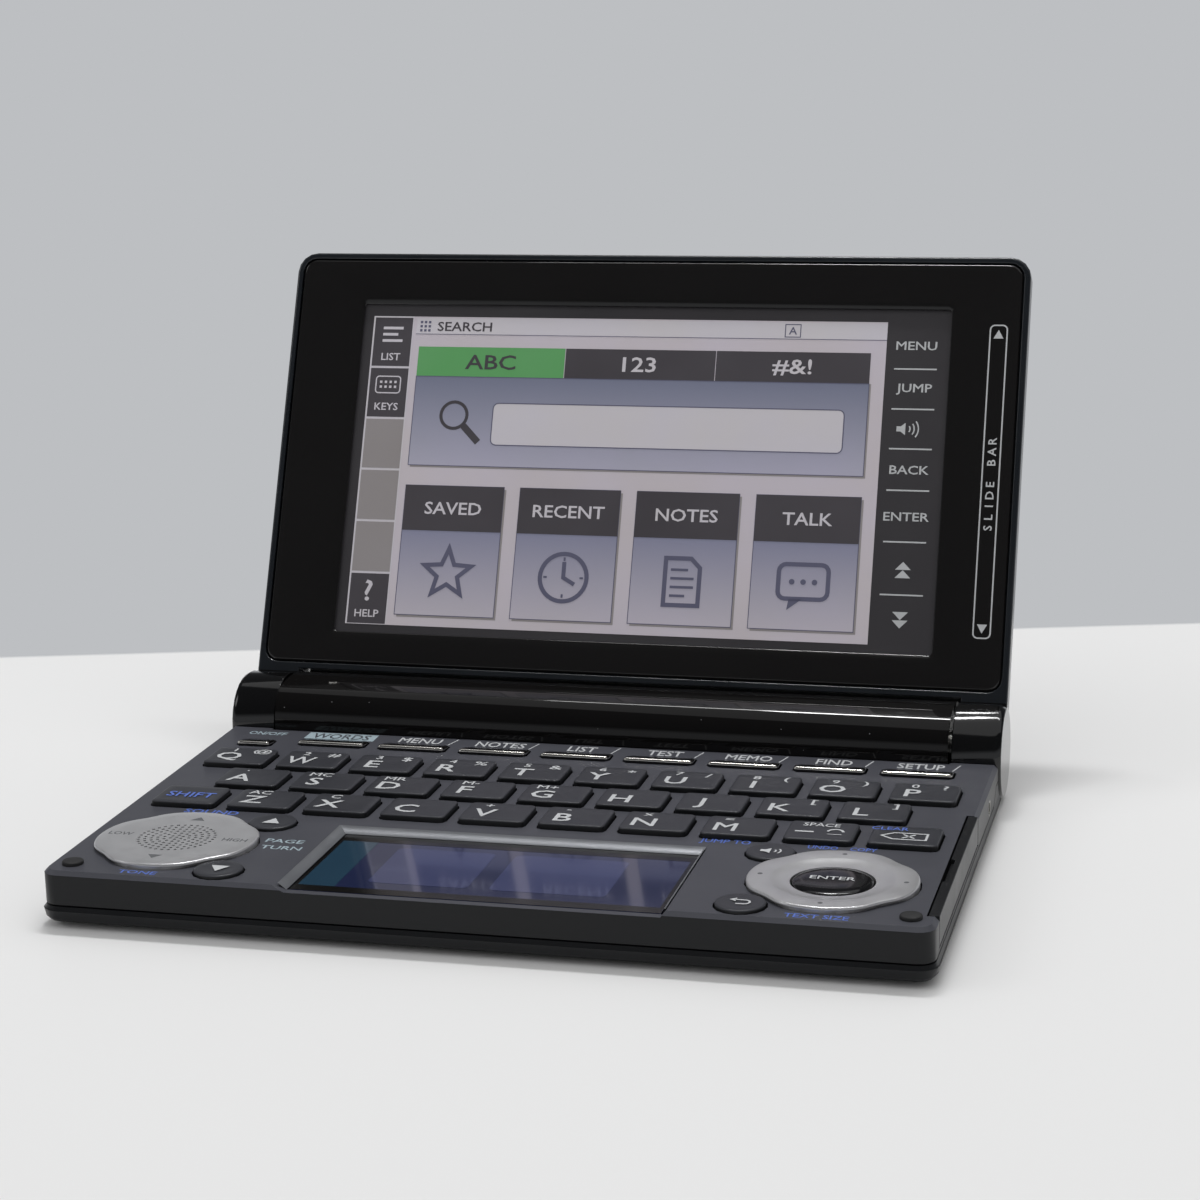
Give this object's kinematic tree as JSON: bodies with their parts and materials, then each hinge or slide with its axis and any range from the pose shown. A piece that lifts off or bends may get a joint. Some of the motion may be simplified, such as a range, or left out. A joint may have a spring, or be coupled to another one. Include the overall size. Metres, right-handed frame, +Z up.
{
  "type": "electronic dictionary",
  "caption": "Handheld electronic dictionary with a hinged lid, a wide main screen, a keyboard, a small lower touch screen, two round pads, a battery barrel and a side pen.",
  "frame": {"origin": "middle of the bounding box of the open dictionary, on the plane that its feet stand on", "axes": "+X along the hinge to the right as the reader sees it, +Y from the front edge to the hinge, +Z up"},
  "size_m": [0.149, 0.1408, 0.0958],
  "materials": {
    "deck": "moulded charcoal plastic with a fine matt texture",
    "lower_case": "moulded dark plastic, satin",
    "gloss": "polished black plastic",
    "lid_shell": "satin blue-black plastic",
    "key": "satin black key plastic with a light printed sign",
    "function_key": "polished black key plastic",
    "silver": "satin silver paint on plastic",
    "screen": "colour display under a clear cover",
    "pad_screen": "dark blue touch screen, glossy",
    "steel": "plain turned steel",
    "cell": "printed film sleeve on a metal can",
    "board": "green solder resist on glass-fibre board",
    "key_rubber": "pale moulded silicone"
  },
  "bodies": {
    "base": {"base_lower_case": "lower_case", "base_upper_case": "deck", "battery_barrel": "gloss", "battery_cell_left": "cell", "battery_cell_right": "cell", "hinge_unit_left": "steel", "hinge_unit_right": "steel", "main_board": "board", "key_mat": "key_rubber", "lower_screen": "pad_screen"},
    "lid": {"lid_back_shell": "lid_shell", "lid_front_bezel": "gloss", "main_screen": "screen"},
    "touch_pen": {"touch_pen": "deck"},
    "battery_cover": {"battery_cover": "gloss"},
    "speaker_pad": {"speaker_pad": "silver"},
    "ring_pad": {"ring_pad": "silver"},
    "centre_button": {"centre_button": "function_key"},
    "key_power": {"key_power": "function_key"},
    "key_function_1": {"key_function_1": "function_key"},
    "key_function_2": {"key_function_2": "function_key"},
    "key_function_3": {"key_function_3": "function_key"},
    "key_function_4": {"key_function_4": "function_key"},
    "key_function_5": {"key_function_5": "function_key"},
    "key_function_6": {"key_function_6": "function_key"},
    "key_function_7": {"key_function_7": "function_key"},
    "key_function_8": {"key_function_8": "function_key"},
    "key_page_up": {"key_page_up": "key"},
    "key_page_down": {"key_page_down": "key"},
    "key_voice": {"key_voice": "key"},
    "key_back": {"key_back": "key"},
    "key_q": {"key_q": "key"},
    "key_w": {"key_w": "key"},
    "key_e": {"key_e": "key"},
    "key_r": {"key_r": "key"},
    "key_t": {"key_t": "key"},
    "key_y": {"key_y": "key"},
    "key_u": {"key_u": "key"},
    "key_i": {"key_i": "key"},
    "key_o": {"key_o": "key"},
    "key_p": {"key_p": "key"},
    "key_a": {"key_a": "key"},
    "key_s": {"key_s": "key"},
    "key_d": {"key_d": "key"},
    "key_f": {"key_f": "key"},
    "key_g": {"key_g": "key"},
    "key_h": {"key_h": "key"},
    "key_j": {"key_j": "key"},
    "key_k": {"key_k": "key"},
    "key_l": {"key_l": "key"},
    "key_shift": {"key_shift": "key"},
    "key_z": {"key_z": "key"},
    "key_x": {"key_x": "key"},
    "key_c": {"key_c": "key"},
    "key_v": {"key_v": "key"},
    "key_b": {"key_b": "key"},
    "key_n": {"key_n": "key"},
    "key_m": {"key_m": "key"},
    "key_dash": {"key_dash": "key"},
    "key_delete": {"key_delete": "key"}
  },
  "joints": [
    {"name": "lid_hinge", "type": "hinge", "parent": "base", "child": "lid", "pos_m": [0, 0.02529, 0.00945], "axis": [-1, 0, 0], "range_deg": [-114, 46]},
    {"name": "pen_slide", "type": "slide", "parent": "base", "child": "touch_pen", "axis": [1, 0, 0], "range_m": [0, 0.006]},
    {"name": "battery_cover_slide", "type": "slide", "parent": "base", "child": "battery_cover", "axis": [1, 0, 0], "range_m": [0, 0.003]},
    {"name": "speaker_pad_press", "type": "slide", "parent": "base", "child": "speaker_pad", "axis": [0, 0, -1], "range_m": [0, 0.0005], "stiffness_N_per_m": 800},
    {"name": "ring_pad_press", "type": "slide", "parent": "base", "child": "ring_pad", "axis": [0, 0, -1], "range_m": [0, 0.0005], "stiffness_N_per_m": 800},
    {"name": "centre_button_press", "type": "slide", "parent": "base", "child": "centre_button", "axis": [0, 0, -1], "range_m": [0, 0.0005], "stiffness_N_per_m": 800},
    {"name": "key_power_press", "type": "slide", "parent": "base", "child": "key_power", "axis": [0, 0, -1], "range_m": [0, 0.0008], "stiffness_N_per_m": 600},
    {"name": "key_function_1_press", "type": "slide", "parent": "base", "child": "key_function_1", "axis": [0, 0, -1], "range_m": [0, 0.0008], "stiffness_N_per_m": 600},
    {"name": "key_function_2_press", "type": "slide", "parent": "base", "child": "key_function_2", "axis": [0, 0, -1], "range_m": [0, 0.0008], "stiffness_N_per_m": 600},
    {"name": "key_function_3_press", "type": "slide", "parent": "base", "child": "key_function_3", "axis": [0, 0, -1], "range_m": [0, 0.0008], "stiffness_N_per_m": 600},
    {"name": "key_function_4_press", "type": "slide", "parent": "base", "child": "key_function_4", "axis": [0, 0, -1], "range_m": [0, 0.0008], "stiffness_N_per_m": 600},
    {"name": "key_function_5_press", "type": "slide", "parent": "base", "child": "key_function_5", "axis": [0, 0, -1], "range_m": [0, 0.0008], "stiffness_N_per_m": 600},
    {"name": "key_function_6_press", "type": "slide", "parent": "base", "child": "key_function_6", "axis": [0, 0, -1], "range_m": [0, 0.0008], "stiffness_N_per_m": 600},
    {"name": "key_function_7_press", "type": "slide", "parent": "base", "child": "key_function_7", "axis": [0, 0, -1], "range_m": [0, 0.0008], "stiffness_N_per_m": 600},
    {"name": "key_function_8_press", "type": "slide", "parent": "base", "child": "key_function_8", "axis": [0, 0, -1], "range_m": [0, 0.0008], "stiffness_N_per_m": 600},
    {"name": "key_page_up_press", "type": "slide", "parent": "base", "child": "key_page_up", "axis": [0, 0, -1], "range_m": [0, 0.0008], "stiffness_N_per_m": 600},
    {"name": "key_page_down_press", "type": "slide", "parent": "base", "child": "key_page_down", "axis": [0, 0, -1], "range_m": [0, 0.0008], "stiffness_N_per_m": 600},
    {"name": "key_voice_press", "type": "slide", "parent": "base", "child": "key_voice", "axis": [0, 0, -1], "range_m": [0, 0.0008], "stiffness_N_per_m": 600},
    {"name": "key_back_press", "type": "slide", "parent": "base", "child": "key_back", "axis": [0, 0, -1], "range_m": [0, 0.0008], "stiffness_N_per_m": 600},
    {"name": "key_q_press", "type": "slide", "parent": "base", "child": "key_q", "axis": [0, 0, -1], "range_m": [0, 0.0008], "stiffness_N_per_m": 600},
    {"name": "key_w_press", "type": "slide", "parent": "base", "child": "key_w", "axis": [0, 0, -1], "range_m": [0, 0.0008], "stiffness_N_per_m": 600},
    {"name": "key_e_press", "type": "slide", "parent": "base", "child": "key_e", "axis": [0, 0, -1], "range_m": [0, 0.0008], "stiffness_N_per_m": 600},
    {"name": "key_r_press", "type": "slide", "parent": "base", "child": "key_r", "axis": [0, 0, -1], "range_m": [0, 0.0008], "stiffness_N_per_m": 600},
    {"name": "key_t_press", "type": "slide", "parent": "base", "child": "key_t", "axis": [0, 0, -1], "range_m": [0, 0.0008], "stiffness_N_per_m": 600},
    {"name": "key_y_press", "type": "slide", "parent": "base", "child": "key_y", "axis": [0, 0, -1], "range_m": [0, 0.0008], "stiffness_N_per_m": 600},
    {"name": "key_u_press", "type": "slide", "parent": "base", "child": "key_u", "axis": [0, 0, -1], "range_m": [0, 0.0008], "stiffness_N_per_m": 600},
    {"name": "key_i_press", "type": "slide", "parent": "base", "child": "key_i", "axis": [0, 0, -1], "range_m": [0, 0.0008], "stiffness_N_per_m": 600},
    {"name": "key_o_press", "type": "slide", "parent": "base", "child": "key_o", "axis": [0, 0, -1], "range_m": [0, 0.0008], "stiffness_N_per_m": 600},
    {"name": "key_p_press", "type": "slide", "parent": "base", "child": "key_p", "axis": [0, 0, -1], "range_m": [0, 0.0008], "stiffness_N_per_m": 600},
    {"name": "key_a_press", "type": "slide", "parent": "base", "child": "key_a", "axis": [0, 0, -1], "range_m": [0, 0.0008], "stiffness_N_per_m": 600},
    {"name": "key_s_press", "type": "slide", "parent": "base", "child": "key_s", "axis": [0, 0, -1], "range_m": [0, 0.0008], "stiffness_N_per_m": 600},
    {"name": "key_d_press", "type": "slide", "parent": "base", "child": "key_d", "axis": [0, 0, -1], "range_m": [0, 0.0008], "stiffness_N_per_m": 600},
    {"name": "key_f_press", "type": "slide", "parent": "base", "child": "key_f", "axis": [0, 0, -1], "range_m": [0, 0.0008], "stiffness_N_per_m": 600},
    {"name": "key_g_press", "type": "slide", "parent": "base", "child": "key_g", "axis": [0, 0, -1], "range_m": [0, 0.0008], "stiffness_N_per_m": 600},
    {"name": "key_h_press", "type": "slide", "parent": "base", "child": "key_h", "axis": [0, 0, -1], "range_m": [0, 0.0008], "stiffness_N_per_m": 600},
    {"name": "key_j_press", "type": "slide", "parent": "base", "child": "key_j", "axis": [0, 0, -1], "range_m": [0, 0.0008], "stiffness_N_per_m": 600},
    {"name": "key_k_press", "type": "slide", "parent": "base", "child": "key_k", "axis": [0, 0, -1], "range_m": [0, 0.0008], "stiffness_N_per_m": 600},
    {"name": "key_l_press", "type": "slide", "parent": "base", "child": "key_l", "axis": [0, 0, -1], "range_m": [0, 0.0008], "stiffness_N_per_m": 600},
    {"name": "key_shift_press", "type": "slide", "parent": "base", "child": "key_shift", "axis": [0, 0, -1], "range_m": [0, 0.0008], "stiffness_N_per_m": 600},
    {"name": "key_z_press", "type": "slide", "parent": "base", "child": "key_z", "axis": [0, 0, -1], "range_m": [0, 0.0008], "stiffness_N_per_m": 600},
    {"name": "key_x_press", "type": "slide", "parent": "base", "child": "key_x", "axis": [0, 0, -1], "range_m": [0, 0.0008], "stiffness_N_per_m": 600},
    {"name": "key_c_press", "type": "slide", "parent": "base", "child": "key_c", "axis": [0, 0, -1], "range_m": [0, 0.0008], "stiffness_N_per_m": 600},
    {"name": "key_v_press", "type": "slide", "parent": "base", "child": "key_v", "axis": [0, 0, -1], "range_m": [0, 0.0008], "stiffness_N_per_m": 600},
    {"name": "key_b_press", "type": "slide", "parent": "base", "child": "key_b", "axis": [0, 0, -1], "range_m": [0, 0.0008], "stiffness_N_per_m": 600},
    {"name": "key_n_press", "type": "slide", "parent": "base", "child": "key_n", "axis": [0, 0, -1], "range_m": [0, 0.0008], "stiffness_N_per_m": 600},
    {"name": "key_m_press", "type": "slide", "parent": "base", "child": "key_m", "axis": [0, 0, -1], "range_m": [0, 0.0008], "stiffness_N_per_m": 600},
    {"name": "key_dash_press", "type": "slide", "parent": "base", "child": "key_dash", "axis": [0, 0, -1], "range_m": [0, 0.0008], "stiffness_N_per_m": 600},
    {"name": "key_delete_press", "type": "slide", "parent": "base", "child": "key_delete", "axis": [0, 0, -1], "range_m": [0, 0.0008], "stiffness_N_per_m": 600}
  ]
}
